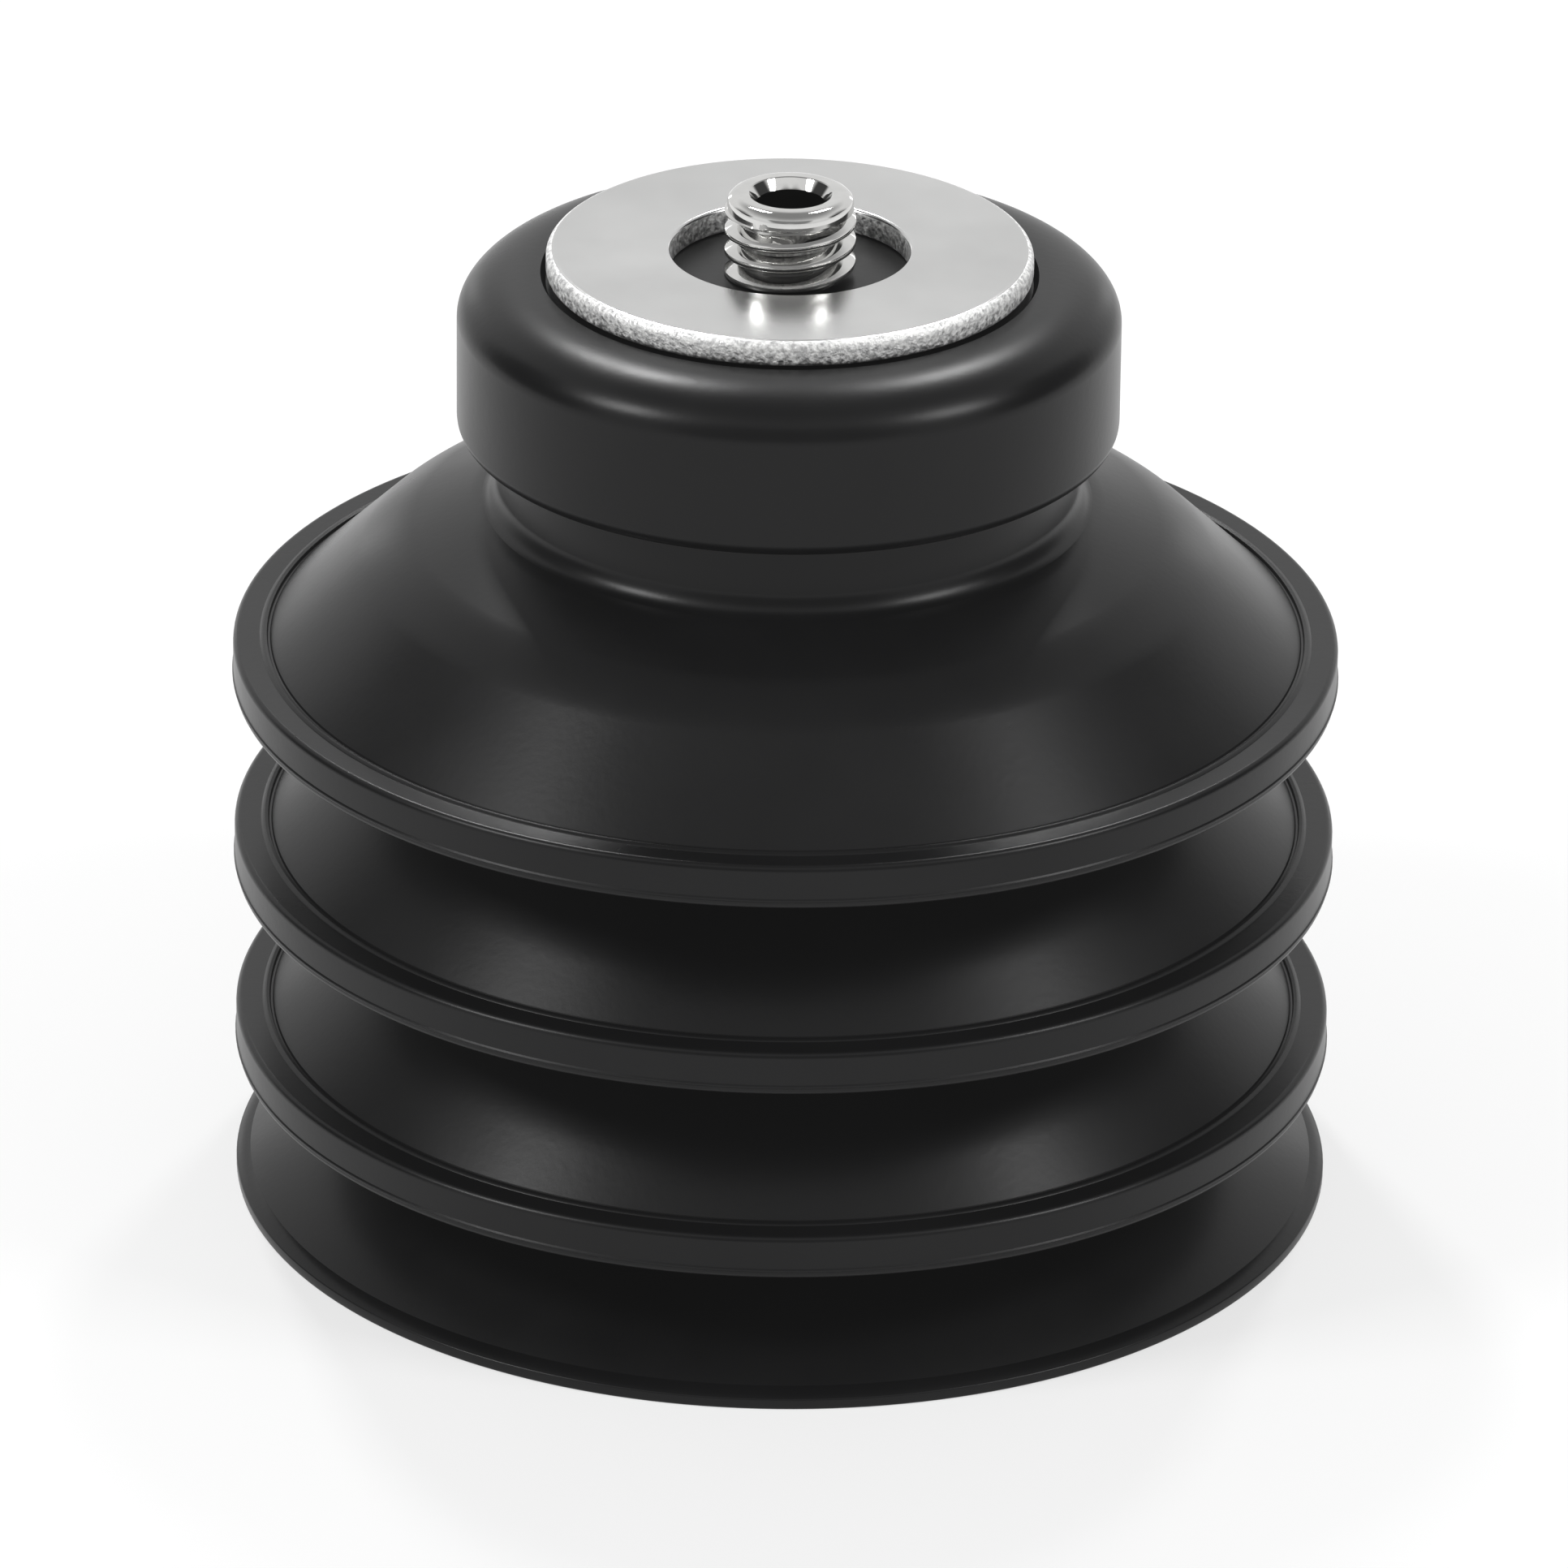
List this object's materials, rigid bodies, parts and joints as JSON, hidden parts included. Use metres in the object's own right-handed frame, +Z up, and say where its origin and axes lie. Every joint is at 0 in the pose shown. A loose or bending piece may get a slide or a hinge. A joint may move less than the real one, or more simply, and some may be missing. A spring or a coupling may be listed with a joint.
{
  "type": "vacuum suction cup",
  "caption": "Round bellows suction cup of black rubber with stepped rims, a necked collar, a steel support ring and a hollow threaded stud on top.",
  "frame": {"origin": "centre of the sealing lip, on the plane that the lip rests on", "axes": "+Z up the cup's axis, from the lip to the stud's tip; every part is turned about it, so +X and +Y are free"},
  "size_m": [0.051, 0.051, 0.0489],
  "materials": {
    "rubber": "satin black moulded rubber",
    "brushed_steel": "fine brushed, satin",
    "plated_steel": "bright plated, turned"
  },
  "bodies": {
    "fixed_head": {"threaded_stud": "plated_steel", "support_ring": "brushed_steel", "anchor_plate": "brushed_steel", "collar": "rubber", "neck": "rubber", "shoulder_upper": "rubber"},
    "rim_1": {"rim_1": "rubber", "shoulder_lower": "rubber", "under_web_1": "rubber"},
    "waist_1": {"waist_1": "rubber", "cone_2": "rubber"},
    "rim_2": {"rim_2": "rubber", "under_web_2": "rubber"},
    "waist_2": {"waist_2": "rubber", "cone_3": "rubber"},
    "rim_3": {"rim_3": "rubber", "under_web_3": "rubber", "waist_3": "rubber"},
    "sealing_lip": {"sealing_lip": "rubber", "skirt": "rubber"}
  },
  "joints": [
    {"name": "shoulder_squeeze", "type": "slide", "parent": "fixed_head", "child": "rim_1", "axis": [0, 0, 1], "range_m": [-0.0006, 0.002], "stiffness_N_per_m": 2500, "deforming": ["shoulder_upper", "shoulder_lower"]},
    {"name": "tilt_about_x", "type": "hinge", "parent": "rim_1", "child": "waist_1", "pos_m": [0, 0, 0.0244], "axis": [1, 0, 0], "range_deg": [-6, 6], "stiffness_Nm_per_rad": 1.5, "deforming": ["under_web_1"]},
    {"name": "fold_2_squeeze", "type": "slide", "parent": "waist_1", "child": "rim_2", "axis": [0, 0, 1], "range_m": [-0.00096, 0.0032], "stiffness_N_per_m": 2500, "deforming": ["cone_2"]},
    {"name": "tilt_about_y", "type": "hinge", "parent": "rim_2", "child": "waist_2", "pos_m": [0, 0, 0.0152], "axis": [0, 1, 0], "range_deg": [-6, 6], "stiffness_Nm_per_rad": 1.5, "deforming": ["under_web_2"]},
    {"name": "fold_3_squeeze", "type": "slide", "parent": "waist_2", "child": "rim_3", "axis": [0, 0, 1], "range_m": [-0.00096, 0.0032], "stiffness_N_per_m": 2500, "deforming": ["cone_3"]},
    {"name": "skirt_flatten", "type": "slide", "parent": "rim_3", "child": "sealing_lip", "axis": [0, 0, 1], "range_m": [0, 0.0025], "stiffness_N_per_m": 2500, "deforming": ["skirt"]}
  ],
  "couplings": [
    {"joint": "fold_2_squeeze", "follows": "shoulder_squeeze", "ratio": 1.6},
    {"joint": "fold_3_squeeze", "follows": "shoulder_squeeze", "ratio": 1.6}
  ]
}
